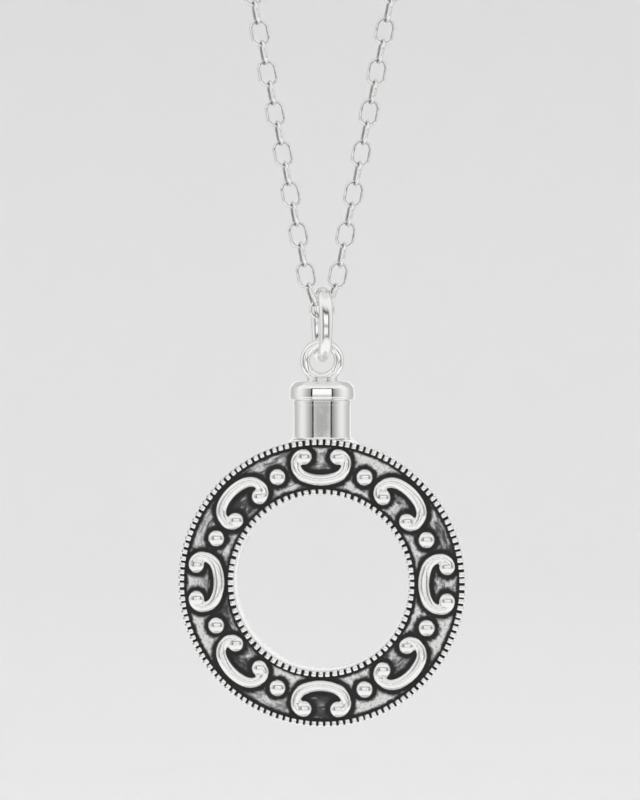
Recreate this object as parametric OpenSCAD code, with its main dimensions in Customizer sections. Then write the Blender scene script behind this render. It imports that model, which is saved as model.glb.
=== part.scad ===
// A round silver pendant with a hollow ring, hung from its screw cap by a bail on a cable chain.
// Millimetres. Z is up, the ornamented face looks along -Y, and the origin is at the top of the chain's loop.

/* [Ring] */
// Outside diameter of the ring
ring_d = 28; // [24:0.5:34]
// Diameter of the hole through the ring
hole_d = 16.9; // [14:0.1:18]
// Thickness of the ring from front to back
ring_t = 2.8; // [2.6:0.1:4]
// Depth of the sunk field between the two rims
field_depth = 0.4; // [0.3:0.05:0.5]
// Width of each notched rim
rim_w = 0.62; // [0.6:0.02:0.9]
// Notches in the outer rim
outer_notches = 130; // [100:2:150]
// Notches in the inner rim
inner_notches = 80; // [60:2:90]

/* [Ornament] */
// Scrolls around the ring, every second one turned over
scrolls = 8; // [4:2:8]
// Height of a scroll above the field
scroll_h = 0.5; // [0.3:0.05:0.7]
// Diameter of a round boss
boss_d = 1.66; // [1.2:0.02:1.8]

/* [Neck and cap] */
// Diameter of the neck that stands on the ring
neck_d = 5.48; // [5:0.1:6]
// Diameter of the low collar round the neck's mouth
collar_d = 5.66; // [5.5:0.02:6.1]
// Top of the neck above the middle of the ring
neck_top = 17.7; // [17:0.1:19]
// Diameter of the cap
cap_d = 6.37; // [6.2:0.1:7]
// Height of the cap's rounded drum
cap_h = 1.79; // [1.6:0.1:2.4]
// Radius of the cap's shoulder
shoulder_r = 0.87; // [0.5:0.05:0.95]
// Length of the plug under the cap
plug_l = 2.9; // [2:0.1:3]
// Diameter of the filling hole in the neck
bore_d = 3; // [2.8:0.1:3.2]

/* [Eye and bail] */
// Outside diameter of the eye on the cap
eye_d = 4.34; // [4.2:0.02:4.6]
// Wire of the eye
eye_wire = 1.08; // [0.9:0.02:1.1]
// Outside height of the bail
bail_h = 7.4; // [7:0.1:8]
// Outside width of the bail
bail_w = 4.8; // [4.6:0.1:5.2]
// Wire of the bail
bail_wire = 1.2; // [1.1:0.02:1.3]
// Turn of the bail and of the chain's links about the vertical
turn = 19; // [0:1:22]

/* [Chain] */
// Outside length of a link
link_l = 2.67; // [2.6:0.01:3]
// Outside width of a link
link_w = 1.9; // [1.8:0.05:2]
// Wire of a link
link_wire = 0.28; // [0.26:0.01:0.3]
// Outside length of the middle link, which carries the bail
middle_l = 2.6; // [2.5:0.1:3]
// Links in the right strand, the left one has one more
strand_links = 110; // [80:2:114]
// Lean of each strand from the vertical
lean = 10.9; // [10:0.1:14]
// Lean of the lowest link of each strand
low_lean = 20; // [14:1:22]
// Space between a piece and the one it carries
play = 0.1; // [0.08:0.01:0.12]

/* [Clasp] */
// Outside diameter of the clasp's ring
clasp_d = 5.5; // [5:0.1:6]
// Wire of the clasp
clasp_wire = 0.9; // [0.8:0.05:1]
// Outside diameter of the small eyelet on the clasp
eyelet_d = 2.1; // [2:0.1:2.4]
// Wire of that eyelet
eyelet_wire = 0.5; // [0.4:0.05:0.55]
// Outside diameter of the ring that joins the chain to the clasp
end_ring_d = 3.6; // [3.4:0.1:4]
// Wire of that ring
end_ring_wire = 0.6; // [0.5:0.05:0.65]

/* [Hidden] */

// Sides of a curve, a purely visual setting because every curve is a true one
curve = 72;

// Heights above the middle of the ring
ring_r = ring_d / 2;
hole_r = hole_d / 2;
seat_gap = 0.05;
cap_bottom = neck_top + seat_gap;
cap_top = cap_bottom + cap_h;
foot_r = 1.6;
foot_h = 0.5;
eye_r = (eye_d - eye_wire) / 2;
eye_z = 21.55;
eye_hole_top = eye_z + eye_r - eye_wire / 2;
hang_gap = 0.08;
bail_bottom = eye_hole_top - hang_gap - bail_wire;
bail_top = bail_bottom + bail_h;
bail_inside_top = bail_top - bail_wire;

// A link's bends, and the middle link that carries the bail
bend_r = (link_w - link_wire) / 2;
pitch = link_l - 2 * link_wire - play;
middle_z = bail_inside_top - play - link_wire / 2 - bend_r;

// Where the first link of a strand hangs in the middle link's upper corner
corner_reach = bend_r - link_wire - play;
corner_angle = 45;
start_out = (middle_l - link_w) / 2 + corner_reach * cos(corner_angle);
start_z = middle_z + corner_reach * sin(corner_angle);
start_x = start_out * cos(turn);
start_y = start_out * sin(turn);

// The knee over that first link, above which the strand hangs straight
knee_x = start_x + pitch * sin(low_lean);
knee_z = start_z + pitch * cos(low_lean);

// The clasp's pieces, from the middle of its ring to the wire of the last link on each side
clasp_r = (clasp_d - clasp_wire) / 2;
eyelet_r = (eyelet_d - eyelet_wire) / 2;
end_ring_r = (end_ring_d - end_ring_wire) / 2;
eyelet_sunk = 0.25;
eyelet_out = (clasp_d + eyelet_d) / 2 - eyelet_sunk;
left_reach = eyelet_out + eyelet_r - eyelet_wire / 2 - play - link_wire / 2;
end_ring_out = clasp_r - clasp_wire / 2 - play - end_ring_wire / 2 + end_ring_r;
right_reach = end_ring_out + end_ring_r - end_ring_wire / 2 - play - link_wire / 2;
clasp_x = (pitch + left_reach - right_reach) / 2;

// The loop: two straight strands that run into one round top
strand_l = (strand_links - 1) * pitch + link_l - link_wire + right_reach + clasp_x;
lean_rad = lean * PI / 180;
top_r = (strand_l - pitch + knee_x / sin(lean)) / (1 / tan(lean) + PI / 2 + lean_rad);
straight_l = top_r / tan(lean) - knee_x / sin(lean);
top_z = knee_z - knee_x / tan(lean) + top_r / sin(lean) + top_r;
drop = [0, 0, -top_z];
clasp_tilt = (eyelet_out / 2 - clasp_x) / top_r * 180 / PI;
end_ring_s = strand_l - clasp_x - end_ring_out;

// Ring: depths along Y, the front being negative
front_y = -ring_t / 2;
back_y = ring_t / 2;
field_y = front_y + field_depth;
edge = 0.25;
wall = 0.65;

// A point at arc length s of the right half of the loop, whose offset to the back dies out towards the clasp
function bend_turned(s) = (s - straight_l) / top_r * 180 / PI;
function on_low_link(s) = [start_x + s * sin(low_lean), start_z + s * cos(low_lean)];
function on_straight(s) = [knee_x + s * sin(lean), knee_z + s * cos(lean)];
function on_bend(s) = [0, top_z - top_r] + top_r * [cos(bend_turned(s) - lean), sin(bend_turned(s) - lean)];
function past_knee(s) = s < straight_l ? on_straight(s) : on_bend(s);
function path(s) =
  let (p = s < pitch ? on_low_link(s) : past_knee(s - pitch)) [p.x, start_y * (1 - s / strand_l), p.y];

// The slope of the line between two points, in degrees above the X axis
function slope(a, b) = atan2(b.z - a.z, b.x - a.x);

// Points along an arc in steps, and a list turned over left to right
function arc(centre, r, from, to, steps) =
  [for (i = [0 : steps]) let (a = from + (to - from) * i / steps) centre + r * [cos(a), sin(a)]];
function mirrored(points) = [for (i = [len(points) - 1 : -1 : 0]) [-points[i].x, points[i].y]];

// Outline of a notched rim's edge: the teeth reach from root to tip
function notched(root, tip, count) =
  [for (i = [0 : count - 1], side = [-1, 1], r = side < 0 ? [root, tip] : [tip, root])
    let (a = (i + side * (r == tip ? 0.3 : 0.35)) * 360 / count) r * [cos(a), sin(a)]];

// Half the outline of a scroll that opens upwards, from the foot of its belly round the curl to the hollow.
// The side's arc touches the belly's, the curl's touches the side's, and the bulb's touches the curl's.
belly_r = 3.84;
side_r = 2.04;
curl_r = 1.38;
bulb_r = 0.84;
hollow_side_r = 1;
hollow_r = 6.38;
curl_z = 0.5;
curl_x = 3.02;
belly_foot = -1.83;
hollow_foot = -0.59;
side_c = [curl_x - side_r, curl_z];
belly_c = [0, belly_foot + belly_r];
curl_c = [curl_x - curl_r, curl_z];
bulb_c = curl_c + [0, curl_r - bulb_r];
hollow_c = [0, hollow_foot + hollow_r];
belly_end = atan2(side_c.y - belly_c.y, side_c.x);
hollow_end = atan2(side_c.y - hollow_c.y, side_c.x);
notch_angle = 285;
hollow_start = -16;
half_scroll = concat(
  arc(belly_c, belly_r, -90, belly_end, 3),
  arc(side_c, side_r, belly_end + 14, 0, 4),
  arc(curl_c, curl_r, 18, 90, 4),
  arc(bulb_c, bulb_r, 120, notch_angle, 6),
  arc(side_c, hollow_side_r, hollow_start, hollow_end, 4),
  [[0, hollow_foot]]);
scroll_mid_r = 11.17;
boss_mid_r = 11.08;

// A closed oval of round wire, its length along X and its hole along Z
module wire_bend(r, wire) {
  rotate_extrude(angle = 180, $fn = curve) translate([r, 0]) circle(d = wire, $fn = curve / 2);
}
module wire_bar(length, wire) {
  rotate([0, 90, 0]) cylinder(h = length, d = wire, center = true, $fn = curve / 2);
}
module oval(length, width, wire) {
  r = (width - wire) / 2;
  bar = length - width;
  translate([bar / 2, 0, 0]) rotate([0, 0, -90]) wire_bend(r, wire);
  translate([-bar / 2, 0, 0]) rotate([0, 0, 90]) wire_bend(r, wire);
  translate([0, r, 0]) wire_bar(bar, wire);
  translate([0, -r, 0]) wire_bar(bar, wire);
}
module wire_ring(diameter, wire) {
  rotate_extrude($fn = curve) translate([(diameter - wire) / 2, 0]) circle(d = wire, $fn = curve / 2);
}

// Stands a flat shape up so that it faces the front, its back at the given depth
module facing(y) {
  translate([0, y, 0]) rotate([90, 0, 0]) children();
}

module ring_blank() {
  facing(back_y) rotate_extrude($fn = curve) polygon([
    [hole_r, edge], [hole_r + edge, 0], [ring_r - edge, 0], [ring_r, edge],
    [ring_r, ring_t - edge / 2], [ring_r - edge / 2, ring_t], [hole_r + edge / 2, ring_t],
    [hole_r, ring_t - edge / 2]]);
}

module sunk_field() {
  outer = notched(ring_r - edge, ring_r - rim_w, outer_notches);
  inner = notched(hole_r + edge, hole_r + rim_w, inner_notches);
  both = [[for (i = [0 : len(outer) - 1]) i], [for (i = [0 : len(inner) - 1]) len(outer) + i]];
  facing(field_y) linear_extrude(field_depth + 1) polygon(concat(outer, inner), both);
}

module scroll() {
  linear_extrude(scroll_h + 0.1) polygon(concat(half_scroll, mirrored(half_scroll)));
}

module ornament() {
  step = 360 / scrolls;
  for (i = [0 : scrolls - 1]) {
    facing(field_y + 0.1) rotate(i * step) translate([0, scroll_mid_r, 0]) mirror([0, i % 2, 0]) scroll();
    rotate([0, (i + 0.5) * step, 0]) translate([0, field_y + 0.3, boss_mid_r])
      sphere(d = boss_d + 0.15, $fn = curve);
  }
}

module chamber() {
  facing(back_y - wall) rotate_extrude($fn = curve)
    translate([hole_r + rim_w + 0.1, 0]) square([ring_r - hole_r - rim_w - 1, ring_t - field_depth - 2 * wall]);
}

module neck() {
  neck_foot = ring_r - 0.05;
  flare_r = 3.5;
  flare_z = ring_r - 0.6;
  collar_h = 0.45;
  translate([0, 0, neck_foot]) cylinder(h = neck_top - neck_foot, d = neck_d, $fn = curve);
  translate([0, 0, neck_top - collar_h]) cylinder(h = collar_h, d = collar_d, $fn = curve);
  intersection() {
    translate([0, 0, flare_z]) cylinder(h = 0.75, r1 = flare_r, r2 = neck_d / 2 - 0.02, $fn = curve);
    translate([-flare_r, front_y + edge / 2, flare_z]) cube([2 * flare_r, ring_t - edge, 1]);
  }
}

module pendant_body() {
  passage_z = ring_r - 1.4;
  passage_r = 0.75;
  color("silver") translate(drop) difference() {
    union() {
      difference() {
        ring_blank();
        sunk_field();
      }
      ornament();
      neck();
    }
    chamber();
    translate([0, 0, passage_z]) cylinder(h = 3, r = passage_r, $fn = curve);
    translate([0, 0, ring_r + 0.3]) cylinder(h = neck_top - ring_r, d = bore_d, $fn = curve);
  }
}

// The cap's drum, its foot plate and eye, and the ridged plug that closes the neck
module drum() {
  lip = 0.13;
  r = cap_d / 2;
  rotate_extrude($fn = curve) {
    polygon([[0, 0], [r - lip, 0], [r, lip], [r, cap_h - shoulder_r], [0, cap_h - shoulder_r]]);
    square([r - shoulder_r, cap_h]);
    translate([r - shoulder_r, cap_h - shoulder_r]) circle(r = shoulder_r, $fn = curve);
  }
}
module plug() {
  ridges = 5;
  ridge_h = plug_l / (ridges + 1);
  r = bore_d / 2 - 0.15;
  root_r = r - 0.2;
  rotate_extrude($fn = curve) polygon(concat(
    [[0, 0.2], [0, -plug_l], [root_r - 0.2, -plug_l]],
    [for (i = [ridges : -1 : 1]) each [
      [root_r, -(i + 0.5) * ridge_h], [r, -(i + 0.15) * ridge_h], [r, -(i - 0.15) * ridge_h]]],
    [[root_r, -ridge_h / 2], [root_r, 0.2]]));
}
module cap() {
  color("gainsboro") translate(drop) {
    translate([0, 0, cap_bottom]) {
      drum();
      plug();
    }
    translate([0, 0, cap_top - 0.1]) cylinder(h = foot_h + 0.1, r = foot_r, $fn = curve);
    translate([0, 0, eye_z]) rotate([90, 0, 0]) wire_ring(eye_d, eye_wire);
  }
}

module bail() {
  color("lightgray") translate(drop) translate([0, 0, bail_bottom + bail_h / 2])
    rotate([0, 0, turn]) rotate([0, 90, 0]) oval(bail_h, bail_w, bail_wire);
}

// One half of the loop: its links hang in turn face on and edge on
module strand(count) {
  for (i = [1 : count]) {
    s = (i - 1) * pitch;
    a = path(s);
    b = path(s + link_l - link_wire);
    face_on = 1 - i % 2;
    translate((a + b) / 2) rotate([0, -slope(a, b), 0]) rotate([90 * face_on + turn, 0, 0])
      oval(link_l, link_w, link_wire);
  }
}
module chain_right() {
  color("silver") translate(drop) {
    strand(strand_links);
    translate([0, 0, middle_z]) rotate([90, 0, turn]) oval(middle_l, link_w, link_wire);
  }
}
module chain_left() {
  color("silver") translate(drop) rotate([0, 0, 180]) strand(strand_links + 1);
}

module clasp() {
  color("silver") translate([clasp_x, 0, 0]) rotate([0, -clasp_tilt, 0]) rotate([90, 0, 0]) {
    wire_ring(clasp_d, clasp_wire);
    translate([-eyelet_out, 0, 0]) wire_ring(eyelet_d, eyelet_wire);
  }
}
module end_ring() {
  tilt = slope(path(end_ring_s + end_ring_r), path(end_ring_s - end_ring_r)) + 180;
  color("silver") translate(drop) translate(path(end_ring_s)) rotate([0, -tilt, 0])
    wire_ring(end_ring_d, end_ring_wire);
}

pendant_body();
cap();
bail();
chain_left();
chain_right();
clasp();
end_ring();
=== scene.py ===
"""A round silver cremation pendant on its chain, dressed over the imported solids.

Pieces are modelled in millimetres round the middle of the ring, and brought to metres when they
are finished.
"""
import math
import random

import bpy
import numpy as np
from mathutils import Matrix, Vector


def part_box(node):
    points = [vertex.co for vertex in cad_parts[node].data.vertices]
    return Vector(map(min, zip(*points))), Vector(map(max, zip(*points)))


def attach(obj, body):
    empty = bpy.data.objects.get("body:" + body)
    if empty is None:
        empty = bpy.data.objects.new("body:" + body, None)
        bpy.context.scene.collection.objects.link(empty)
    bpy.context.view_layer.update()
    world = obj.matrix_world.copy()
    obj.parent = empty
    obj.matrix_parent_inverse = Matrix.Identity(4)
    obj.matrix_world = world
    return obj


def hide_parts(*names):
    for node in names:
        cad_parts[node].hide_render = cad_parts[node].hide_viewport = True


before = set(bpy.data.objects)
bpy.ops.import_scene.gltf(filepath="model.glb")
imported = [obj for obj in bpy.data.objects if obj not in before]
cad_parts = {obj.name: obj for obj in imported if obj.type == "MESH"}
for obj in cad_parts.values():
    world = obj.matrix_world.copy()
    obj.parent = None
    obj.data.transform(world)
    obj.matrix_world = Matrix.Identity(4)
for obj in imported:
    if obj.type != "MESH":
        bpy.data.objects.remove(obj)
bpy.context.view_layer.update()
MM = 0.001
# Corners closer than this are merged, and shorter edges than this are dissolved, in millimetres
WELD, SLIVER = 0.0005, 0.0001
# Axes that profiles are turned round: the pendant's own, and the one through the ring's hole
UP, THROUGH = (0, 0, 1), (0, 1, 0)

# Places and sizes that the solids give, in millimetres
body_low, body_high = (Vector(corner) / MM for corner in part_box("pendant_body"))
cap_low, cap_high = (Vector(corner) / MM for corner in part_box("cap"))
bail_low, bail_high = (Vector(corner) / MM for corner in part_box("bail"))
RING_R = (body_high.x - body_low.x) / 2
RING_Z = body_low.z + RING_R
COLLAR_R = (body_high.y - body_low.y) / 2
NECK_TOP = body_high.z - RING_Z
CAP_R = (cap_high.x - cap_low.x) / 2
EYE_TOP = cap_high.z - RING_Z
BAIL_BOTTOM = bail_low.z - RING_Z
BAIL_TOP = bail_high.z - RING_Z
LOOP_TOP = -RING_Z

# Ring and neck. Scrolls and bosses reach down into the field by their root.
HOLE_R = 8.45
HALF_T = 1.4
FIELD_DEPTH = 0.4
FRONT = -HALF_T
FIELD_Y = FRONT + FIELD_DEPTH
RIM_W = 0.62
OUTER_TEETH = 130
INNER_TEETH = 80
SCROLLS = 8
SCROLL_MID_R = 11.17
BOSS_MID_R = 11.08
BOSS_R = 0.86
BOSS_H = 0.6
ROOT = 0.12
COLLAR_STEP = 0.05
NECK_R = COLLAR_R - COLLAR_STEP

# Cap, eye and bail
CAP_GAP = 0.05
CAP_BOTTOM = NECK_TOP + CAP_GAP
CAP_H = 1.79
FOOT_R = 1.6
FOOT_H = 0.5
EYE_WIRE = 1.05
EYE_R = 1.645
BAIL_WIRE = 1.2
BAIL_W = 4.8
TURN = math.radians(19)

# Chain and clasp
LINK_L, LINK_W, LINK_WIRE, PLAY = 2.67, 1.9, 0.28, 0.1
MIDDLE_L = 2.6
STRAND_LINKS = 110
LEAN = math.radians(10.9)
LOW_LEAN = math.radians(20)
CLASP_D, CLASP_WIRE = 5.5, 0.9
EYELET_D, EYELET_WIRE, EYELET_SUNK = 2.1, 0.5, 0.25
END_RING_D, END_RING_WIRE = 3.6, 0.6


# Modelling helpers

def deselect():
    """Leaves nothing selected, the solids of the frame included."""
    if bpy.context.object and bpy.context.object.mode != "OBJECT":
        bpy.ops.object.mode_set(mode="OBJECT")
    bpy.ops.object.select_all(action="DESELECT")


def pick(*pieces):
    """Selects these pieces alone and makes the first one active."""
    deselect()
    for piece in pieces:
        piece.select_set(True)
    bpy.context.view_layer.objects.active = pieces[0]


def edit_all(piece):
    """Opens a piece in edit mode with all of it selected."""
    pick(piece)
    bpy.ops.object.mode_set(mode="EDIT")
    bpy.ops.mesh.select_all(action="SELECT")


def apply_modifier(piece, kind, **settings):
    """Adds one modifier with these settings and applies it."""
    pick(piece)
    modifier = piece.modifiers.new(kind.lower(), kind)
    for name, value in settings.items():
        setattr(modifier, name, value)
    bpy.ops.object.modifier_apply(modifier=modifier.name)


def draw_line(name, points):
    """A line through the points, drawn by pulling one corner out of the last."""
    deselect()
    bpy.ops.mesh.primitive_plane_add(size=1, enter_editmode=True)
    bpy.ops.mesh.merge(type="CENTER")
    places = [Vector(p) for p in points]
    bpy.ops.transform.translate(value=places[0])
    for here, there in zip(places, places[1:]):
        bpy.ops.mesh.extrude_region_move(TRANSFORM_OT_translate={"value": there - here})
    piece = bpy.context.object
    piece.name = name
    return piece


def turned(name, points, axis, steps):
    """A solid turned on a lathe from a profile, with its seam and poles closed."""
    piece = draw_line(name, points)
    bpy.ops.mesh.select_all(action="SELECT")
    bpy.ops.mesh.spin(steps=steps, angle=math.tau, center=(0, 0, 0), axis=axis)
    bpy.ops.mesh.select_all(action="SELECT")
    bpy.ops.mesh.remove_doubles(threshold=WELD)
    bpy.ops.mesh.dissolve_degenerate(threshold=SLIVER)
    bpy.ops.mesh.normals_make_consistent(inside=False)
    bpy.ops.object.mode_set(mode="OBJECT")
    return piece


def select_where(piece, test):
    """Opens a piece in edit mode with only the corners selected that pass a test."""
    pick(piece)
    bpy.ops.object.mode_set(mode="EDIT")
    bpy.ops.mesh.select_mode(type="VERT")
    bpy.ops.mesh.select_all(action="DESELECT")
    bpy.ops.object.mode_set(mode="OBJECT")
    for vertex in piece.data.vertices:
        vertex.select = test(vertex.co)
    bpy.ops.object.mode_set(mode="EDIT")


def swell(piece, spot, reaches):
    """Thickens a wire round a soldered spot, a little more for each nearer reach."""
    more = 1.03
    for reach in reaches:
        select_where(piece, lambda co, reach=reach: (co - Vector(spot)).length < reach)
        bpy.ops.transform.resize(value=(more, more, more), center_override=spot)
    bpy.ops.object.mode_set(mode="OBJECT")


def wire_along(name, points, widths, sides, closed):
    """A round wire along points, with its half width at each and an even number of sides."""
    draw_line(name, points)
    if closed:
        bpy.ops.mesh.select_all(action="SELECT")
        bpy.ops.mesh.edge_face_add()
        bpy.ops.mesh.delete(type="ONLY_FACE")
    bpy.ops.object.mode_set(mode="OBJECT")
    bpy.ops.object.convert(target="CURVE")
    curve = bpy.context.object.data
    for point in curve.splines[0].points:
        near = min(range(len(points)), key=lambda i: (Vector(points[i]) - point.co.to_3d()).length)
        point.radius = widths[near]
    curve.bevel_depth = 1
    curve.bevel_resolution = sides // 2 - 2
    curve.use_fill_caps = not closed
    bpy.ops.object.convert(target="MESH")
    edit_all(bpy.context.object)
    bpy.ops.mesh.remove_doubles(threshold=WELD)
    bpy.ops.mesh.normals_make_consistent(inside=False)
    bpy.ops.object.mode_set(mode="OBJECT")
    return bpy.context.object


def arc_points(centre, radius, start, end, steps):
    """Points along an arc in a plane, angles in degrees."""
    angles = [math.radians(start + (end - start) * i / steps) for i in range(steps + 1)]
    return [(centre[0] + radius * math.cos(a), centre[1] + radius * math.sin(a)) for a in angles]


def copied(piece, name, matrix):
    """A copy with a mesh of its own, moved by a matrix."""
    copy = piece.copy()
    copy.data = piece.data.copy()
    copy.name = name
    copy.data.transform(matrix)
    bpy.context.collection.objects.link(copy)
    return copy


def joined(name, pieces):
    """One piece out of several."""
    pick(*pieces)
    bpy.ops.object.join()
    piece = bpy.context.object
    piece.name = name
    return piece


def dropped(piece):
    """Takes a pattern piece out of the scene once it has been copied."""
    bpy.data.objects.remove(piece, do_unlink=True)


def finished(piece, body, material, node, smooth=40):
    """Brings a piece to metres in the frame, shades it and hands it to its body, slot and node."""
    pick(piece)
    piece.location = (0, 0, RING_Z * MM)
    piece.scale = (MM, MM, MM)
    bpy.ops.object.transform_apply(location=True, rotation=True, scale=True)
    bpy.ops.object.shade_smooth_by_angle(angle=math.radians(smooth))
    piece.data.materials.clear()
    piece.data.materials.append(material)
    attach(piece, body)
    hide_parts(node)
    return piece


# Materials

def new_group(name, inputs, outputs):
    """An empty shader node group with named sockets."""
    tree = bpy.data.node_groups.new(name, "ShaderNodeTree")
    for label, value in inputs:
        socket = tree.interface.new_socket(label, in_out="INPUT", socket_type="NodeSocketFloat")
        socket.default_value = value
    for label, kind in outputs:
        tree.interface.new_socket(label, in_out="OUTPUT", socket_type=kind)
    return tree, tree.nodes.new("NodeGroupInput"), tree.nodes.new("NodeGroupOutput")


def math_node(tree, operation, first, second=None, clamp=False):
    """A Math node fed by sockets or numbers."""
    node = tree.nodes.new("ShaderNodeMath")
    node.operation = operation
    node.use_clamp = clamp
    for socket, value in zip(node.inputs, (first, second)):
        if isinstance(value, bpy.types.NodeSocket):
            tree.links.new(value, socket)
        elif value is not None:
            socket.default_value = value
    return node.outputs[0]


def noise_node(tree, vector, scale, detail, stretch=None, distortion=0.0):
    """A Noise Texture in object space, stretched where a stretch is given."""
    if stretch:
        mapping = tree.nodes.new("ShaderNodeMapping")
        mapping.inputs["Scale"].default_value = stretch
        tree.links.new(vector, mapping.inputs["Vector"])
        vector = mapping.outputs["Vector"]
    node = tree.nodes.new("ShaderNodeTexNoise")
    node.inputs["Scale"].default_value = scale
    node.inputs["Detail"].default_value = detail
    node.inputs["Distortion"].default_value = distortion
    tree.links.new(vector, node.inputs["Vector"])
    return node.outputs["Fac"]


def swing(tree, noise, amount):
    """A noise made to swing about zero by this amount."""
    return math_node(tree, "MULTIPLY", math_node(tree, "SUBTRACT", noise, 0.5), amount)


def mixed(tree, share, low, high):
    """A colour between two, each a socket or three numbers."""
    node = tree.nodes.new("ShaderNodeMix")
    node.data_type = "RGBA"
    tree.links.new(share, node.inputs[0])
    for socket, value in ((node.inputs[6], low), (node.inputs[7], high)):
        if isinstance(value, bpy.types.NodeSocket):
            tree.links.new(value, socket)
        else:
            socket.default_value = (*value, 1)
    return node.outputs[2]


def ramp_between(tree, value, low, high, to_low=0.0, to_high=1.0):
    """Maps a range of a value to another with soft ends."""
    node = tree.nodes.new("ShaderNodeMapRange")
    node.interpolation_type = "SMOOTHSTEP"
    node.inputs["From Min"].default_value = low
    node.inputs["From Max"].default_value = high
    node.inputs["To Min"].default_value = to_low
    node.inputs["To Max"].default_value = to_high
    tree.links.new(value, node.inputs["Value"])
    return node.outputs["Result"]


def polish_marks_group():
    """Fine scratches and cloudy handling marks of polished silver, as a roughness and a height."""
    tree, given, out = new_group(
        "polish_marks",
        [("Roughness", 0.08), ("Cloud", 0.05), ("Scratch", 0.5)],
        [("Roughness", "NodeSocketFloat"), ("Height", "NodeSocketFloat")])
    place = tree.nodes.new("ShaderNodeTexCoord").outputs["Object"]
    cloud = noise_node(tree, place, scale=900, detail=3)
    lines_a = noise_node(tree, place, scale=1400, detail=2, stretch=(1, 1, 14))
    lines_b = noise_node(tree, place, scale=1700, detail=2, stretch=(12, 3, 1))
    scratch = math_node(tree, "MAXIMUM", ramp_between(tree, lines_a, 0.62, 0.8),
                        ramp_between(tree, lines_b, 0.64, 0.82))
    scratch = math_node(tree, "MULTIPLY", scratch, given.outputs["Scratch"])
    haze = math_node(tree, "MULTIPLY", ramp_between(tree, cloud, 0.35, 0.7), given.outputs["Cloud"])
    rough = math_node(tree, "ADD", given.outputs["Roughness"], haze)
    rough = math_node(tree, "ADD", rough, math_node(tree, "MULTIPLY", scratch, 0.12), clamp=True)
    tree.links.new(rough, out.inputs["Roughness"])
    tree.links.new(math_node(tree, "ADD", cloud, scratch), out.inputs["Height"])
    return tree


def attribute_node(tree, name):
    """An Attribute node, for a value that is kept on the mesh."""
    node = tree.nodes.new("ShaderNodeAttribute")
    node.attribute_name = name
    return node


SILVER = (0.95, 0.945, 0.935)
WARM_SILVER = (0.95, 0.945, 0.93)
FIELD_SILVER = (0.9, 0.89, 0.87)
# Grey of the shade painted on the inner side of each chain wire, in place of the dark line that polished
# wire mirrors
PAINTED_SHADE_GREY = (0.34, 0.335, 0.33)
MARK_DEPTH = 0.00001


def silver(name, marks, colour, roughness, cloud, scratch, bump):
    """Polished silver with its own amount of handling marks."""
    material = bpy.data.materials.new(name)
    material.use_nodes = True
    tree = material.node_tree
    shader = tree.nodes["Principled BSDF"]
    shader.inputs["Base Color"].default_value = (*colour, 1)
    shader.inputs["Metallic"].default_value = 1
    worn = tree.nodes.new("ShaderNodeGroup")
    worn.node_tree = marks
    worn.inputs["Roughness"].default_value = roughness
    worn.inputs["Cloud"].default_value = cloud
    worn.inputs["Scratch"].default_value = scratch
    tree.links.new(worn.outputs["Roughness"], shader.inputs["Roughness"])
    height = tree.nodes.new("ShaderNodeBump")
    height.inputs["Strength"].default_value = bump
    height.inputs["Distance"].default_value = MARK_DEPTH
    tree.links.new(worn.outputs["Height"], height.inputs["Height"])
    tree.links.new(height.outputs["Normal"], shader.inputs["Normal"])
    return material


def oxidised(name, marks):
    """Silver blackened in its hollows and rubbed bright where the cloth reaches.

    The attribute clearance is 1 where a rubbing cloth just reaches the metal beside the relief. Rub is
    how hard each spot has been rubbed, and is highest off the field, which keeps its full lustre. Sweep
    is the place drawn together along the ring, for long streaks."""
    material = silver(name, marks, FIELD_SILVER, roughness=0.34, cloud=0.1, scratch=0.8, bump=0.6)
    tree = material.node_tree
    shader = tree.nodes["Principled BSDF"]
    place = tree.nodes.new("ShaderNodeTexCoord").outputs["Object"]
    clearance = attribute_node(tree, "clearance").outputs["Fac"]
    rub = attribute_node(tree, "rub").outputs["Fac"]
    sweep = attribute_node(tree, "sweep").outputs["Vector"]
    clouds = swing(tree, noise_node(tree, place, scale=900, detail=3, distortion=1.2), 1.5)
    flecks = swing(tree, noise_node(tree, place, scale=3500, detail=4), 0.9)
    streaks = swing(tree, noise_node(tree, sweep, scale=2400, detail=5, distortion=0.6), 2.3)
    grain = swing(tree, noise_node(tree, place, scale=6500, detail=3), 2.0)
    ragged = math_node(tree, "ADD", clouds, flecks)
    reached = ramp_between(tree, math_node(tree, "ADD", clearance, ragged), 0.8, 1.95)
    level = ramp_between(tree, math_node(tree, "ADD", rub, streaks), 0.05, 1.0)
    mask = math_node(tree, "MULTIPLY", reached, level)
    mask = math_node(tree, "MULTIPLY", mask, math_node(tree, "ADD", 1.0, grain), clamp=True)
    deep = ramp_between(tree, math_node(tree, "ADD", clearance, flecks), 0.6, 2.0)
    black = mixed(tree, deep, (0.056, 0.055, 0.056), (0.11, 0.108, 0.109))
    bright = mixed(tree, ramp_between(tree, rub, 0.7, 1.2), (0.88, 0.875, 0.87), (0.93, 0.92, 0.91))
    tree.links.new(mixed(tree, mask, black, bright), shader.inputs["Base Color"])
    worn = next(node for node in tree.nodes if node.type == "GROUP")
    dull = math_node(tree, "MULTIPLY", math_node(tree, "SUBTRACT", 1.0, mask), 0.25)
    lustre = ramp_between(tree, rub, 1.4, 1.55, 0.0, 0.24)
    rough = math_node(tree, "ADD", worn.outputs["Roughness"], math_node(tree, "SUBTRACT", dull, lustre),
                      clamp=True)
    tree.links.new(rough, shader.inputs["Roughness"])
    return material


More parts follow.
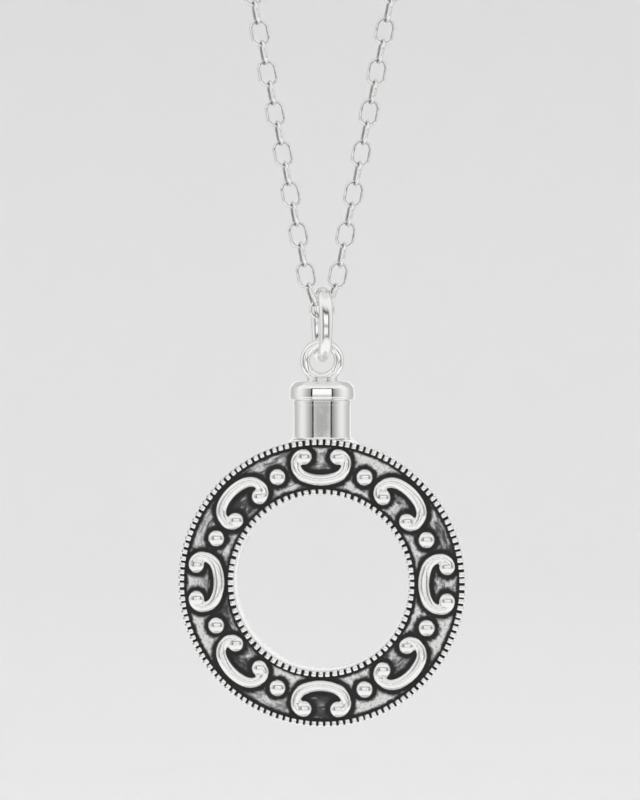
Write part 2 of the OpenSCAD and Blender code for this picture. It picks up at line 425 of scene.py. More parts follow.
def painted_shade_silver(name, marks):
    """Chain silver with painted shade, darker on the side of each wire that faces the middle of its link.

    The attribute hollow is 0 on a wire's outer half and near 1 on its inmost line."""
    material = silver(name, marks, SILVER, roughness=0.1, cloud=0.06, scratch=0.4, bump=0.15)
    tree = material.node_tree
    hollow = attribute_node(tree, "hollow").outputs["Fac"]
    place = tree.nodes.new("ShaderNodeTexCoord").outputs["Object"]
    # Painted shade: each wire's inner side is darkened towards the grey, broken up a little by noise
    patches = swing(tree, noise_node(tree, place, scale=2500, detail=2), 0.5)
    share = ramp_between(tree, math_node(tree, "ADD", hollow, patches), 0.1, 0.7)
    tree.links.new(mixed(tree, share, SILVER, PAINTED_SHADE_GREY), tree.nodes["Principled BSDF"].inputs["Base Color"])
    return material


def plain(name, colour, roughness):
    """A plain studio surface."""
    material = bpy.data.materials.new(name)
    material.use_nodes = True
    shader = material.node_tree.nodes["Principled BSDF"]
    shader.inputs["Base Color"].default_value = (*colour, 1)
    shader.inputs["Roughness"].default_value = roughness
    return material


marks = polish_marks_group()
polished = silver("polished_silver", marks, WARM_SILVER, roughness=0.06, cloud=0.05, scratch=0.35,
                  bump=0.12)
relief_silver = silver("relief_silver", marks, SILVER, roughness=0.14, cloud=0.08, scratch=0.5, bump=1.0)
bail_silver = silver("bail_silver", marks, SILVER, roughness=0.1, cloud=0.05, scratch=0.4, bump=0.15)
chain_silver = painted_shade_silver("chain_silver", marks)
dark_field = oxidised("oxidised_silver", marks)


# Ring

SIDE_R, INNER_SIDE_R, CURL_R, BULB_R = 2.04, 1.0, 1.38, 0.84
CURL_X, CURL_Z, BELLY_FOOT, HOLLOW_FOOT = 3.02, 0.5, -1.83, -0.59
CURL_TURN = 95


def scroll_spine():
    """The middle line of a scroll that opens upwards, as x, z and half width, from curl to curl."""
    middle = (BELLY_FOOT + HOLLOW_FOOT) / 2
    thick, thin = (HOLLOW_FOOT - BELLY_FOOT) / 2, (SIDE_R - INNER_SIDE_R) / 2
    side_c = (CURL_X - SIDE_R, CURL_Z)
    side_mid = (SIDE_R + INNER_SIDE_R) / 2
    drop = CURL_Z - middle
    reach = CURL_X - SIDE_R
    belly_mid = (reach ** 2 + drop ** 2 - side_mid ** 2) / (2 * (drop - side_mid))
    belly_c = (0, middle + belly_mid)
    turn = math.degrees(math.atan2(side_c[1] - belly_c[1], side_c[0]))
    half = [(x, z, thick) for x, z in arc_points(belly_c, belly_mid, -90, turn, 6)]
    side = arc_points(side_c, side_mid, turn, 0, 8)[1:]
    half += [(x, z, thick + (thin - thick) * (i + 1) / len(side)) for i, (x, z) in enumerate(side)]
    curl_c = (CURL_X - CURL_R, CURL_Z)
    steps = 8
    for i in range(1, steps + 1):
        width = thin + (thick - thin) * i / steps
        angle = math.radians(CURL_TURN * i / steps)
        radius = CURL_R - width
        half.append((curl_c[0] + radius * math.cos(angle), curl_c[1] + radius * math.sin(angle), width))
    return [(-x, z, w) for x, z, w in reversed(half[1:])] + half


SPINE = scroll_spine()
BULB = (CURL_X - CURL_R, CURL_Z + CURL_R - BULB_R)


def scroll_places():
    """For each scroll, its turn about the ring's axis and whether it is turned over."""
    return [(i * math.tau / SCROLLS, i % 2 == 1) for i in range(SCROLLS)]


def scroll_matrix(angle, over):
    """Moves a scroll from its own middle to its place on the ring."""
    flip = Matrix.Diagonal((1, 1, -1, 1)) if over else Matrix.Identity(4)
    return Matrix.Rotation(angle, 4, "Y") @ Matrix.Translation((0, 0, SCROLL_MID_R)) @ flip


def boss_matrix(angle):
    """Moves a boss from the ring's axis to its place, halfway from a scroll to the next one."""
    return Matrix.Rotation(angle + math.pi / SCROLLS, 4, "Y") @ Matrix.Translation((0, 0, BOSS_MID_R))


def scroll_pattern():
    """One scroll: a half-round bar curled into bulbs at both ends, cast in one and softened."""
    bulb_flat, all_flat = 0.8, 0.94
    parts = [wire_along("scroll_bar", [(x, 0, z) for x, z, _ in SPINE], [w for _, _, w in SPINE],
                        sides=20, closed=False)]
    for side in (-1, 1):
        deselect()
        bpy.ops.mesh.primitive_uv_sphere_add(segments=40, ring_count=20, radius=BULB_R,
                                             scale=(1, bulb_flat, 1),
                                             location=(side * BULB[0], 0, BULB[1]))
        parts.append(bpy.context.object)
        bpy.ops.object.transform_apply()
    piece = joined("scroll_pattern", parts)
    apply_modifier(piece, "REMESH", mode="VOXEL", voxel_size=0.055)
    apply_modifier(piece, "SMOOTH", factor=0.5, iterations=2)
    edit_all(piece)
    bpy.ops.mesh.bisect(plane_co=(0, ROOT, 0), plane_no=(0, 1, 0), clear_outer=True, use_fill=True)
    bpy.ops.object.mode_set(mode="OBJECT")
    piece.data.transform(Matrix.Translation((0, FIELD_Y, 0)) @ Matrix.Diagonal((1, all_flat, 1, 1)))
    return piece


def boss_pattern():
    """One round boss, a low dome that runs down into the field."""
    dome = [(BOSS_R * x, FIELD_Y - BOSS_H * y) for x, y in arc_points((0, 0), 1, 90, 0, 10)]
    outline = dome + [(BOSS_R, FIELD_Y + ROOT), (0, FIELD_Y + ROOT)]
    return turned("boss_pattern", [(r, y, 0) for r, y in outline], THROUGH, steps=40)


def tooth_pattern(low, high, width):
    """One tooth of a notched rim, a rounded bar that points at the ring's middle."""
    depth, set_back, rounding = 0.5, 0.01, 0.11
    deselect()
    bpy.ops.mesh.primitive_cube_add(size=1, scale=(width, depth, high - low),
                                    location=(0, FRONT + set_back + depth / 2, (low + high) / 2))
    tooth = bpy.context.object
    bpy.ops.object.transform_apply()
    apply_modifier(tooth, "BEVEL", width=rounding, segments=2)
    return tooth


def rim_teeth(name, count, low, high, width):
    """A whole rim of teeth, each a little different as hand-cut ones are."""
    pattern = tooth_pattern(low, high, width)
    aside, wider, forward = 0.06, 0.07, 0.02
    chance = random.Random(count)
    teeth = []
    for i in range(count):
        angle = (i + chance.uniform(-aside, aside)) * math.tau / count
        wide = chance.uniform(1 - wider, 1 + wider)
        lift = chance.uniform(-forward, forward)
        place = Matrix.Rotation(angle, 4, "Y") @ Matrix.Translation((0, lift, 0))
        teeth.append(copied(pattern, "tooth", place @ Matrix.Diagonal((wide, 1, 1, 1))))
    dropped(pattern)
    return joined(name, teeth)


# How brightly the field is rubbed, clockwise from the top: outside and inside each boss, and in each scroll
RUBBED_OUTSIDE = [1.35, 0.45, 1.0, 1.1, 0.65, 1.35, 0.65, 0.5]
RUBBED_INSIDE = [1.05, 0.95, 1.05, 1.1, 1.35, 0.35, 0.75, 0.75]
RUBBED_IN_SCROLL = [0.75, 0.85, 0.8, 0.65, 0.25, 0.4, 0.9, 0.35]
RUBBED_OFF_FIELD = 1.6
# How far from the relief and from the rims a rubbing cloth just reaches the field
HALO, RIM_HALO = 0.34, 0.25
OPEN = 3


def gap_to(places, centre, radius):
    """How far each place lies outside a circle, in the face's plane."""
    return np.hypot(places[:, 0] - centre[0], places[:, 2] - centre[2]) - radius


def relief_gaps(places):
    """The gap from each place to the nearest scroll or boss, and to the nearest rim."""
    nearest = np.full(len(places), RING_R)
    for angle, over in scroll_places():
        matrix = scroll_matrix(angle, over)
        for x, z, width in SPINE:
            nearest = np.minimum(nearest, gap_to(places, matrix @ Vector((x, 0, z)), width))
        for side in (-1, 1):
            bulb = matrix @ Vector((side * BULB[0], 0, BULB[1]))
            nearest = np.minimum(nearest, gap_to(places, bulb, BULB_R))
        nearest = np.minimum(nearest, gap_to(places, boss_matrix(angle).translation, BOSS_R))
    radius = np.hypot(places[:, 0], places[:, 2])
    return nearest, np.minimum(RING_R - RIM_W - radius, radius - HOLE_R - RIM_W)


def rubbed_level(places):
    """How hard each place of the field was rubbed, by the part of the pattern that it lies in."""
    turn = np.degrees(np.arctan2(places[:, 0], places[:, 2])) % 360
    radius = np.hypot(places[:, 0], places[:, 2])
    boss = (turn // (360 / SCROLLS)).astype(int) % SCROLLS
    level = np.where(radius > BOSS_MID_R, np.array(RUBBED_OUTSIDE)[boss], np.array(RUBBED_INSIDE)[boss])
    hollow_z, hollow_r = 0.7, 1.75
    for i, (angle, over) in enumerate(scroll_places()):
        hollow = scroll_matrix(angle, over) @ Vector((0, 0, hollow_z))
        inside = gap_to(places, hollow, hollow_r) < 0
        outward = places[:, 0] * math.sin(angle) + places[:, 2] * math.cos(angle) - SCROLL_MID_R
        to_mouth = -outward if over else outward
        level[inside] = RUBBED_IN_SCROLL[i] * np.clip(0.5 + 0.35 * to_mouth[inside], 0.2, 1.2)
    return level


# Radii of the band's walls behind the teeth, and of the blackened part of its front
WALL_OUT, WALL_IN = RING_R - 0.08, HOLE_R + 0.06
BLACK_OUT, BLACK_IN = RING_R - 0.1, HOLE_R + 0.18


def band_section():
    """The ring's section as radius and depth: sunk field in front, plain rounded wall and back."""
    lip, back_out, back_in, steps = 0.14, 0.45, 0.4, 44
    wall_y = FIELD_Y + 0.2
    low, high = WALL_IN + lip, WALL_OUT - lip
    section = [(low + (high - low) * i / steps, FIELD_Y) for i in range(steps + 1)]
    section += arc_points((high, FIELD_Y + lip), lip, -90, 0, 4)[1:] + [(WALL_OUT, wall_y)]
    section += arc_points((RING_R - back_out, HALF_T - back_out), back_out, 0, 90, 6)
    section += arc_points((HOLE_R + back_in, HALF_T - back_in), back_in, 90, 180, 6) + [(WALL_IN, wall_y)]
    return section + arc_points((low, FIELD_Y + lip), lip, 180, 270, 4)[:-1]


def keep_on(mesh, name, kind, field, values):
    """Keeps a value for each corner of a mesh, for its material to read."""
    layer = mesh.attributes.new(name, kind, "POINT")
    layer.data.foreach_set(field, values.ravel().astype(np.float32))


def ring_band():
    """The ring itself, and what its material reads: clearance, rub and sweep."""
    points = [(r, y, 0) for r, y in band_section()]
    piece = turned("ring_band", points + points[:1], THROUGH, steps=540)
    mesh = piece.data
    places = np.empty(len(mesh.vertices) * 3)
    mesh.vertices.foreach_get("co", places)
    places = places.reshape(-1, 3)
    relief, rims = relief_gaps(places)
    radius = np.hypot(places[:, 0], places[:, 2])
    flat = np.abs(places[:, 1] - FIELD_Y) < 0.05
    on_field = flat & (radius > BLACK_IN) & (radius < BLACK_OUT)
    clearance = np.clip(np.minimum(relief / HALO, rims / RIM_HALO), 0, OPEN)
    keep_on(mesh, "clearance", "FLOAT", "value", np.where(on_field, clearance, OPEN))
    keep_on(mesh, "rub", "FLOAT", "value", np.where(on_field, rubbed_level(places), RUBBED_OFF_FIELD))
    drawn_r = 4
    swept = np.column_stack((places[:, 0] / radius * drawn_r, radius, places[:, 2] / radius * drawn_r))
    keep_on(mesh, "sweep", "FLOAT_VECTOR", "vector", swept * MM)
    return piece


# Each rim of teeth: its name and number of teeth, the radii it lies between, and a tooth's width
RIMS = [
    ("outer_rim", OUTER_TEETH, RING_R - RIM_W - 0.02, RING_R - 0.02, 0.49),
    ("inner_rim", INNER_TEETH, WALL_IN, HOLE_R + RIM_W + 0.02, 0.5),
]


def ring_pieces():
    """The ring with its rims, scrolls and bosses, all soldered to the pendant."""
    finished(ring_band(), "pendant", dark_field, "pendant_body")
    for row in RIMS:
        finished(rim_teeth(*row), "pendant", relief_silver, "pendant_body")
    scroll, boss = scroll_pattern(), boss_pattern()
    for i, (angle, over) in enumerate(scroll_places()):
        piece = copied(scroll, f"scroll_{i}", scroll_matrix(angle, over))
        if over:
            piece.data.flip_normals()
        finished(piece, "pendant", relief_silver, "pendant_body", smooth=60)
        piece = copied(boss, f"boss_{i}", boss_matrix(angle))
        finished(piece, "pendant", relief_silver, "pendant_body", smooth=60)
    dropped(scroll)
    dropped(boss)


# Neck and cap

def neck_tube():
    """The filling neck: a tube with a low collar at its mouth and a softened foot."""
    foot, softened = RING_R - 0.05, 0.14
    bore_r, bore_foot = 1.5, foot + 0.3
    collar_foot = NECK_TOP - 0.45
    outline = [(0, foot), (NECK_R - softened, foot)]
    outline += arc_points((NECK_R - softened, foot + softened), softened, -90, 0, 4)[1:]
    outline += [(NECK_R, foot + softened + 0.06), (NECK_R, foot + softened + 0.14),
                (NECK_R, collar_foot - 0.02), (COLLAR_R, collar_foot), (COLLAR_R, NECK_TOP - 0.12),
                (COLLAR_R, NECK_TOP - 0.08), (COLLAR_R - 0.03, NECK_TOP - 0.02), (COLLAR_R - 0.1, NECK_TOP),
                (bore_r + 0.08, NECK_TOP), (bore_r, NECK_TOP - 0.08), (bore_r, bore_foot), (0, bore_foot)]
    return turned("neck_tube", [(r, 0, z) for r, z in outline], UP, steps=96)


def solder_band(name, heights, half_width):
    """A turned band of solder, cut off at the front and the back. Heights are from the ring's top edge."""
    outline = [(r, 0, RING_R + z) for r, z in heights]
    piece = turned(name, outline + outline[:1], UP, steps=96)
    for side in (-1, 1):
        edit_all(piece)
        bpy.ops.mesh.bisect(plane_co=(0, side * half_width, 0), plane_no=(0, side, 0),
                            clear_outer=True, use_fill=True)
    bpy.ops.object.mode_set(mode="OBJECT")
    return piece


def neck_solder():
    """The solder round the neck's foot, which runs out over the ring's outer wall on both sides."""
    core_r, fillet_half, skirt_half = 1.0, HALF_T - 0.1, HALF_T - 0.47
    fillet = solder_band("neck_solder", [(core_r, -0.12), (3.02, -0.12), (2.92, -0.02), (2.84, 0.1),
                                         (2.78, 0.25), (NECK_R, 0.42), (core_r, 0.42)], fillet_half)
    skirt = solder_band("skirt", [(core_r, -0.6), (3.7, -0.6), (3.45, -0.44), (3.2, -0.26), (3.02, -0.1),
                                  (2.9, 0.02), (core_r, 0.02)], skirt_half)
    piece = joined("neck_solder", [fillet, skirt])
    apply_modifier(piece, "BEVEL", width=0.06, segments=3, limit_method="ANGLE",
                   angle_limit=math.radians(50))
    return piece


def cap_drum():
    """The cap: a drum with a broad round shoulder and a fine lip at its lower edge."""
    z, r = CAP_BOTTOM, CAP_R
    mouth_r, wall_low = 1.2, z + 0.3
    outline = [(mouth_r, z), (r - 0.16, z), (r - 0.06, z + 0.04), (r - 0.03, z + 0.1), (r - 0.04, z + 0.17),
               (r, z + 0.22), (r, wall_low)]
    shoulder, bulge = 0.87, math.radians(4.5)
    wall_top = z + CAP_H - shoulder + shoulder * math.sin(bulge)
    belly = (wall_top - wall_low) / math.sin(bulge)
    outline += arc_points((r - belly, wall_low), belly, 0, math.degrees(bulge), 6)[1:]
    tuck = belly * (1 - math.cos(bulge)) + shoulder * math.cos(bulge)
    outline += arc_points((r - tuck, z + CAP_H - shoulder), shoulder, math.degrees(bulge), 88, 14)[1:]
    outline += [(FOOT_R, z + CAP_H + 0.02), (FOOT_R - 0.2, z + CAP_H + 0.03), (0, z + CAP_H + 0.03)]
    return turned("cap_drum", [(0, 0, z)] + [(r, 0, z) for r, z in outline], UP, steps=128)


def cap_foot():
    """The small plate that the eye is soldered to, with a groove round it."""
    z = CAP_BOTTOM + CAP_H
    outline = [(0, z - 0.1), (FOOT_R - 0.02, z - 0.1), (FOOT_R, z + 0.05), (FOOT_R, z + 0.12),
               (FOOT_R - 0.08, z + 0.18), (FOOT_R - 0.08, z + 0.22), (FOOT_R, z + 0.27),
               (FOOT_R, z + 0.38), (FOOT_R - 0.12, z + FOOT_H), (0, z + FOOT_H)]
    return turned("cap_foot", [(r, 0, z) for r, z in outline], UP, steps=64)


def cap_eye():
    """The eye, a closed ring of wire set upright in the foot plate."""
    deselect()
    bpy.ops.mesh.primitive_torus_add(major_radius=EYE_R, minor_radius=EYE_WIRE / 2, major_segments=96,
                                     minor_segments=32, rotation=(math.pi / 2, 0, 0),
                                     location=(0, 0, EYE_TOP - EYE_R - EYE_WIRE / 2))
    bpy.ops.object.transform_apply()
    piece = bpy.context.object
    piece.name = "cap_eye"
    floor = CAP_BOTTOM + CAP_H + 0.02
    solder_x, solder_z = 1.1, floor + 0.3
    for side in (-1, 1):
        swell(piece, (side * solder_x, 0, solder_z), (0.9, 0.75, 0.6))
    edit_all(piece)
    bpy.ops.mesh.bisect(plane_co=(0, 0, floor), plane_no=(0, 0, -1), clear_outer=True, use_fill=True)
    bpy.ops.object.mode_set(mode="OBJECT")
    return piece


def cap_plug():
    """The ridged plug that closes the neck."""
    ridges, length, radius = 6, 2.9, 1.35
    step = length / (ridges + 0.5)
    outline = [(0, 0.05), (radius - 0.15, 0.05)]
    for i in range(ridges):
        top = -i * step
        outline += [(radius - 0.2, top - 0.3 * step), (radius - 0.02, top - 0.5 * step),
                    (radius, top - 0.62 * step), (radius - 0.02, top - 0.74 * step)]
    outline += [(radius - 0.2, -length + 0.12), (radius - 0.35, -length), (0, -length)]
    return turned("cap_plug", [(r, 0, CAP_BOTTOM + z) for r, z in outline], UP, steps=64)


def neck_and_cap_pieces():
    """The neck on the ring, and the cap's pieces over it."""
    finished(neck_tube(), "pendant", polished, "pendant_body")
    finished(neck_solder(), "pendant", polished, "pendant_body")
    for piece in (cap_drum(), cap_foot(), cap_eye(), cap_plug()):
        finished(piece, "cap", polished, "cap")


# Bail, chain and clasp

def wire_oval(name, length, width, wire, segments, sides):
    """An oval ring of round wire in the XY plane, a torus pulled apart along X.

    It is turned by half a step so that no corner lies where it is pulled, and its flats touch the true
    oval."""
    half_step = math.pi / segments
    deselect()
    bpy.ops.mesh.primitive_torus_add(major_radius=(width - wire) / 2 / math.cos(half_step),
                                     minor_radius=wire / 2, major_segments=segments,
                                     minor_segments=sides)
    piece = bpy.context.object
    piece.name = name
    piece.data.transform(Matrix.Rotation(half_step, 4, "Z"))
    # hollow places the shade that the chain's material paints: 0 on the wire's outer half, rising to 1 on
    # its inmost line
    hollow = piece.data.attributes.new("hollow", "FLOAT", "POINT")
    for vertex in piece.data.vertices:
        inward = (width - wire) / 2 - vertex.co.xy.length
        hollow.data[vertex.index].value = max(0, inward / (wire / 2))
    for side in (-1, 1):
        select_where(piece, lambda co, side=side: co.x * side > 0)
        bpy.ops.transform.translate(value=(side * (length - width) / 2, 0, 0))
    bpy.ops.object.mode_set(mode="OBJECT")
    return piece


def bail_piece():
    """The bail: a long oval of wire, broader at the crown, with softly bowed sides."""
    half_h = (BAIL_TOP - BAIL_BOTTOM - BAIL_WIRE) / 2
    half_w = (BAIL_W - BAIL_WIRE) / 2
    side_r = 7.5
    end_r = (side_r ** 2 - (side_r - half_w) ** 2 - half_h ** 2) / (2 * (side_r - half_h))
    meet = math.degrees(math.atan2(half_h - end_r, side_r - half_w))
    quarter = arc_points((half_w - side_r, 0), side_r, 0, meet, 10)
    quarter += arc_points((0, half_h - end_r), end_r, meet, 90, 12)[1:]
    right = [(x, -z) for x, z in reversed(quarter)] + quarter[1:]
    outline = right + [(-x, z) for x, z in reversed(right)][1:-1]
    widths = [BAIL_WIRE / 2] * len(outline)
    piece = wire_along("bail_ring", [(x, 0, z) for x, z in outline], widths, sides=28, closed=True)
    steps, widening = 12, 1.2
    for i in range(steps):
        height = half_h * (2 * i / steps - 1)
        select_where(piece, lambda co, height=height: co.z > height)
        bpy.ops.transform.resize(value=(1, widening ** (1 / steps), 1), center_override=(0, 0, 0))
    bpy.ops.object.mode_set(mode="OBJECT")
    upright = Matrix.Rotation(TURN + math.pi / 2, 4, "Z")
    piece.data.transform(Matrix.Translation((0, 0, (BAIL_TOP + BAIL_BOTTOM) / 2)) @ upright)
    return piece


# Where a strand starts in the middle link, how far clasp and end ring take up the loop, and the
# straight stretch and the round top that the strand's length then gives
BEND_R = (LINK_W - LINK_WIRE) / 2
PITCH = LINK_L - 2 * LINK_WIRE - PLAY
MIDDLE_Z = BAIL_TOP - BAIL_WIRE - PLAY - LINK_WIRE / 2 - BEND_R
CORNER = math.radians(45)
CORNER_REACH = BEND_R - LINK_WIRE - PLAY
START_OUT = (MIDDLE_L - LINK_W) / 2 + CORNER_REACH * math.cos(CORNER)
START = Vector((START_OUT * math.cos(TURN), START_OUT * math.sin(TURN),
                MIDDLE_Z + CORNER_REACH * math.sin(CORNER)))
CLASP_R = (CLASP_D - CLASP_WIRE) / 2
EYELET_R = (EYELET_D - EYELET_WIRE) / 2
END_RING_R = (END_RING_D - END_RING_WIRE) / 2
EYELET_OUT = (CLASP_D + EYELET_D) / 2 - EYELET_SUNK
LEFT_REACH = EYELET_OUT + EYELET_R - EYELET_WIRE / 2 - PLAY - LINK_WIRE / 2
END_RING_OUT = CLASP_R - CLASP_WIRE / 2 - PLAY - END_RING_WIRE / 2 + END_RING_R
RIGHT_REACH = END_RING_OUT + END_RING_R - END_RING_WIRE / 2 - PLAY - LINK_WIRE / 2
CLASP_X = (PITCH + LEFT_REACH - RIGHT_REACH) / 2
STRAND = (STRAND_LINKS - 1) * PITCH + LINK_L - LINK_WIRE + RIGHT_REACH + CLASP_X
KNEE = START + Vector((math.sin(LOW_LEAN), 0, math.cos(LOW_LEAN))) * PITCH
TOP_R = (STRAND - PITCH + KNEE.x / math.sin(LEAN)) / (1 / math.tan(LEAN) + math.pi / 2 + LEAN)
STRAIGHT = TOP_R / math.tan(LEAN) - KNEE.x / math.sin(LEAN)


def on_loop(s):
    """A point at a length s up the right strand, from the middle link to the clasp."""
    y = START.y * (1 - s / STRAND)
    if s < PITCH:
        return Vector((START.x + s * math.sin(LOW_LEAN), y, START.z + s * math.cos(LOW_LEAN)))
    above = s - PITCH
    if above < STRAIGHT:
        return Vector((KNEE.x + above * math.sin(LEAN), y, KNEE.z + above * math.cos(LEAN)))
    bend = (above - STRAIGHT) / TOP_R - LEAN
    return Vector((TOP_R * math.cos(bend), y, LOOP_TOP - TOP_R + TOP_R * math.sin(bend)))


def strand_piece(name, count, extra=()):
    """All the links of one strand in one piece, in turn edge on and face on."""
    link = wire_oval("link", LINK_L, LINK_W, LINK_WIRE, segments=12, sides=5)
    links = list(extra)
    for i in range(count):
        low = on_loop(i * PITCH)
        high = on_loop(i * PITCH + LINK_L - LINK_WIRE)
        slope = math.atan2(high.z - low.z, high.x - low.x)
        roll = TURN + (math.pi / 2 if i % 2 else 0)
        turn = Matrix.Rotation(-slope, 4, "Y") @ Matrix.Rotation(roll, 4, "X")
        links.append(copied(link, "link", Matrix.Translation((low + high) / 2) @ turn))
    dropped(link)
    return joined(name, links)


def chain_pieces():
    """Both strands and the middle link between them."""
    middle = wire_oval("middle_link", MIDDLE_L, LINK_W, LINK_WIRE, segments=20, sides=8)
    upright = Matrix.Rotation(TURN, 4, "Z") @ Matrix.Rotation(math.pi / 2, 4, "X")
    middle.data.transform(Matrix.Translation((0, 0, MIDDLE_Z)) @ upright)
    right = strand_piece("chain_right_links", STRAND_LINKS, [middle])
    finished(right, "chain", chain_silver, "chain_right", smooth=80)
    left = strand_piece("chain_left_links", STRAND_LINKS + 1)
    left.data.transform(Matrix.Rotation(math.pi, 4, "Z"))
    finished(left, "chain", chain_silver, "chain_left", smooth=80)


def wire_ring(name, diameter, wire, joint, matrix):
    """A ring of round wire, soldered shut on its left or right side, moved by a matrix."""
    radius = (diameter - wire) / 2
    deselect()
    bpy.ops.mesh.primitive_torus_add(major_radius=radius, minor_radius=wire / 2, major_segments=64,
                                     minor_segments=20)
    piece = bpy.context.object
    piece.name = name
    swell(piece, (joint * radius, 0, 0), (1.2 * wire, 0.9 * wire, 0.7 * wire))
    piece.data.transform(matrix)
    return piece


def clasp_pieces():
    """The clasp's ring with its eyelet and two sleeves, and the ring that joins the other strand to it."""
    tilt = (EYELET_OUT / 2 - CLASP_X) / TOP_R
    place = (Matrix.Translation((CLASP_X, 0, LOOP_TOP)) @ Matrix.Rotation(-tilt, 4, "Y")
             @ Matrix.Rotation(math.pi / 2, 4, "X"))
    beside = place @ Matrix.Translation((-EYELET_OUT, 0, 0))
    parts = [wire_ring("clasp_ring", CLASP_D, CLASP_WIRE, -1, place),
             wire_ring("eyelet", EYELET_D, EYELET_WIRE, 1, beside)]
    sleeve = turned("sleeve", [(0, -0.1, 0), (0.5, -0.1, 0), (0.56, 0, 0), (0.5, 0.1, 0), (0, 0.1, 0)],
                    THROUGH, steps=32)
    aside = 0.62
    for angle in (-aside, aside):
        spot = place @ Matrix.Rotation(math.pi / 2 + angle, 4, "Z") @ Matrix.Translation((CLASP_R, 0, 0))
        parts.append(copied(sleeve, "sleeve", spot))
    dropped(sleeve)
    finished(joined("clasp_ring", parts), "chain", polished, "clasp")
    middle = STRAND - CLASP_X - END_RING_OUT
    low, high = on_loop(middle + END_RING_R), on_loop(middle - END_RING_R)
    slope = math.atan2(high.z - low.z, high.x - low.x)
    lie = Matrix.Translation(on_loop(middle)) @ Matrix.Rotation(-slope, 4, "Y")
    finished(wire_ring("end_ring_wire", END_RING_D, END_RING_WIRE, 1, lie), "chain",
             polished, "end_ring")


# Studio

# The camera's turn to the right, its height and distance, and how far left of the axis it aims
VIEW_AZIMUTH = math.radians(6)
EYE_LEVEL = (RING_Z + 17.72) * MM
DISTANCE = 0.184
AIM_LEFT = 0.0002


def studio():
    """A pale floor that sweeps up into a round wall."""
    floor_z, wall_top = RING_Z - 130, 1600
    wall_r, sweep = 1800, 600
    outline = [(0, floor_z), (wall_r - sweep, floor_z)]
    outline += arc_points((wall_r - sweep, floor_z + sweep), sweep, -90, 0, 16) + [(wall_r, wall_top)]
    sweep_piece = turned("studio_sweep", [(r * MM, 0, z * MM) for r, z in outline], UP, steps=96)
    edit_all(sweep_piece)
    bpy.ops.mesh.flip_normals()
    bpy.ops.object.mode_set(mode="OBJECT")
    bpy.ops.object.shade_smooth_by_angle(angle=math.radians(60))
    sweep_piece.data.materials.append(plain("studio_paper", (0.86, 0.86, 0.86), 0.9))
    sweep_piece.visible_glossy = False


def camera():
    """The photograph's view: level, a little from the right, an 85 mm lens."""
    data = bpy.data.cameras.new("camera")
    data.lens = 85
    data.sensor_width = 36
    eye = bpy.data.objects.new("camera", data)
    bpy.context.collection.objects.link(eye)
    back = Vector((math.sin(VIEW_AZIMUTH), -math.cos(VIEW_AZIMUTH), 0))
    side = Vector((math.cos(VIEW_AZIMUTH), math.sin(VIEW_AZIMUTH), 0))
    aim = Vector((0, 0, EYE_LEVEL)) - side * AIM_LEFT
    eye.location = aim + back * DISTANCE
    eye.rotation_euler = (-back).to_track_quat("-Z", "Y").to_euler()
    data.clip_start = 0.01
    bpy.context.scene.camera = eye


TENT_R = 600
TENT_STEP = 3
# Each panel of the light tent, mirrored to both sides of the camera: azimuth from and to, elevation from
# and to, glow at the inner and outer side, and how much of that glow is left at its foot and at its head
TENT = [
    (0, 34, -12.5, -2.8, 1.00, 1.00, 1.00, 1.00),
    (0, 34, -2.8, -1.7, 1.00, 1.00, 1.00, 0.42),
    (0, 20, -1.7, 0.4, 0.40, 0.42, 1.00, 1.00),
    (20, 34, -1.7, 0.4, 0.42, 0.58, 1.00, 1.00),
    (0, 34, 0.4, 3.4, 1.02, 1.04, 0.42, 1.00),
    (0, 34, 3.4, 15.5, 1.04, 1.04, 1.00, 1.02),
    (34, 39.5, -16, 15.5, 0.01, 0.01, 1.00, 1.00),
    (0, 34, -16, -12.5, 0.12, 0.12, 1.00, 1.00),
    (0, 39.5, 15.5, 20.5, 0.01, 0.01, 1.00, 1.00),
    (0, 39.5, 20.5, 25, 0.62, 0.62, 1.00, 1.00),
    (39.5, 76, -16, 19.5, 0.25, 0.80, 0.92, 1.16),
    (76, 92, -16, 19.5, 0.80, 0.84, 0.92, 1.16),
    (92, 122, -16, 19.5, 0.84, 0.56, 0.95, 1.08),
    (122, 150, -16, 19.5, 0.56, 0.54, 0.98, 1.02),
    (150, 180, -16, 19.5, 0.98, 0.98, 1.00, 1.00),
    (39.5, 106, 19.5, 25, 0.90, 0.90, 1.00, 1.00),
    (0, 106, 25, 50, 0.90, 0.90, 1.00, 1.00),
    (106, 180, 19.5, 50, 0.58, 0.58, 1.00, 1.00),
    (0, 180, 50, 89, 0.80, 0.74, 1.00, 0.90),
    (0, 106, -60, -16, 0.96, 0.98, 1.00, 1.00),
    (106, 180, -60, -16, 0.66, 0.66, 1.00, 1.00),
    (0, 180, -89, -60, 0.60, 0.60, 1.00, 1.00),
]


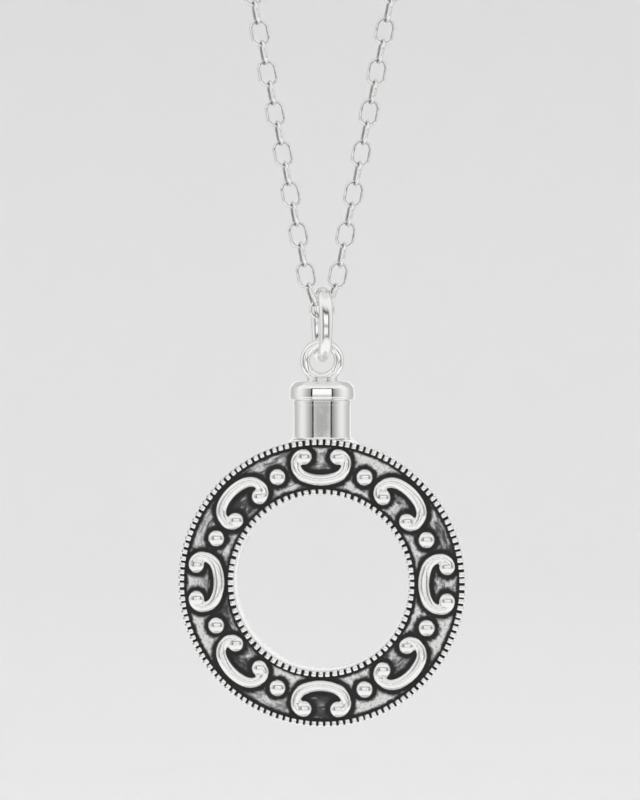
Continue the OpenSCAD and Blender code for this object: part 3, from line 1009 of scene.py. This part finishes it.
def tent_panel(side, row):
    """One curved panel of the tent on the camera's left or right, its glow kept on its corners."""
    az_in, az_out, el_low, el_high, glow_in, glow_out, foot, head = row
    rise = max(2, round((el_high - el_low) / TENT_STEP))
    start = math.radians(-90) + VIEW_AZIMUTH + side * math.radians(az_in)
    profile = []
    for i in range(rise + 1):
        el = math.radians(el_low + (el_high - el_low) * i / rise)
        out = TENT_R * math.cos(el)
        profile.append((out * math.cos(start), out * math.sin(start), TENT_R * math.sin(el)))
    panel = draw_line("tent_panel", profile)
    bpy.ops.mesh.select_all(action="SELECT")
    sweep = math.radians(az_out - az_in)
    bpy.ops.mesh.spin(steps=max(2, round((az_out - az_in) / TENT_STEP)), angle=-side * sweep,
                      center=(0, 0, 0), axis=UP)
    bpy.ops.object.mode_set(mode="OBJECT")
    glow = panel.data.attributes.new("glow", "FLOAT", "POINT")
    for vertex in panel.data.vertices:
        around = abs(math.atan2(vertex.co.y, vertex.co.x) - start)
        around = min(around, math.tau - around)
        up = math.degrees(math.asin(vertex.co.z / TENT_R))
        share = (up - el_low) / (el_high - el_low)
        across = min(1, around / sweep)
        glow.data[vertex.index].value = (
            (glow_in + (glow_out - glow_in) * across) * (foot + (head - foot) * share))
    return panel


def light_tent():
    """The white tent with its dark-edged window, which the metal mirrors and the camera doesn't see."""
    tent = joined("light_tent", [tent_panel(side, row) for row in TENT for side in (-1, 1)])
    tent.data.transform(Matrix.Translation((0, 0, EYE_LEVEL)) @ Matrix.Scale(MM, 4))
    material = bpy.data.materials.new("tent_cloth")
    material.use_nodes = True
    tree = material.node_tree
    shader = tree.nodes["Principled BSDF"]
    shader.inputs["Base Color"].default_value = (0, 0, 0, 1)
    shader.inputs["Specular IOR Level"].default_value = 0
    shader.inputs["Emission Color"].default_value = (1, 1, 1, 1)
    glow = attribute_node(tree, "glow").outputs["Fac"]
    tree.links.new(glow, shader.inputs["Emission Strength"])
    tent.data.materials.append(material)
    tent.visible_camera = False
    tent.visible_diffuse = False
    tent.visible_shadow = False


def daylight():
    """A white sky over the studio's round wall."""
    world = bpy.data.worlds.new("studio_light")
    world.use_nodes = True
    world.node_tree.nodes["Background"].inputs["Color"].default_value = (1, 1, 1, 1)
    world.node_tree.nodes["Background"].inputs["Strength"].default_value = 1.15
    bpy.context.scene.world = world
    bpy.context.scene.view_settings.view_transform = "Standard"


ring_pieces()
neck_and_cap_pieces()
finished(bail_piece(), "bail", bail_silver, "bail", smooth=80)
chain_pieces()
clasp_pieces()
studio()
camera()
light_tent()
daylight()
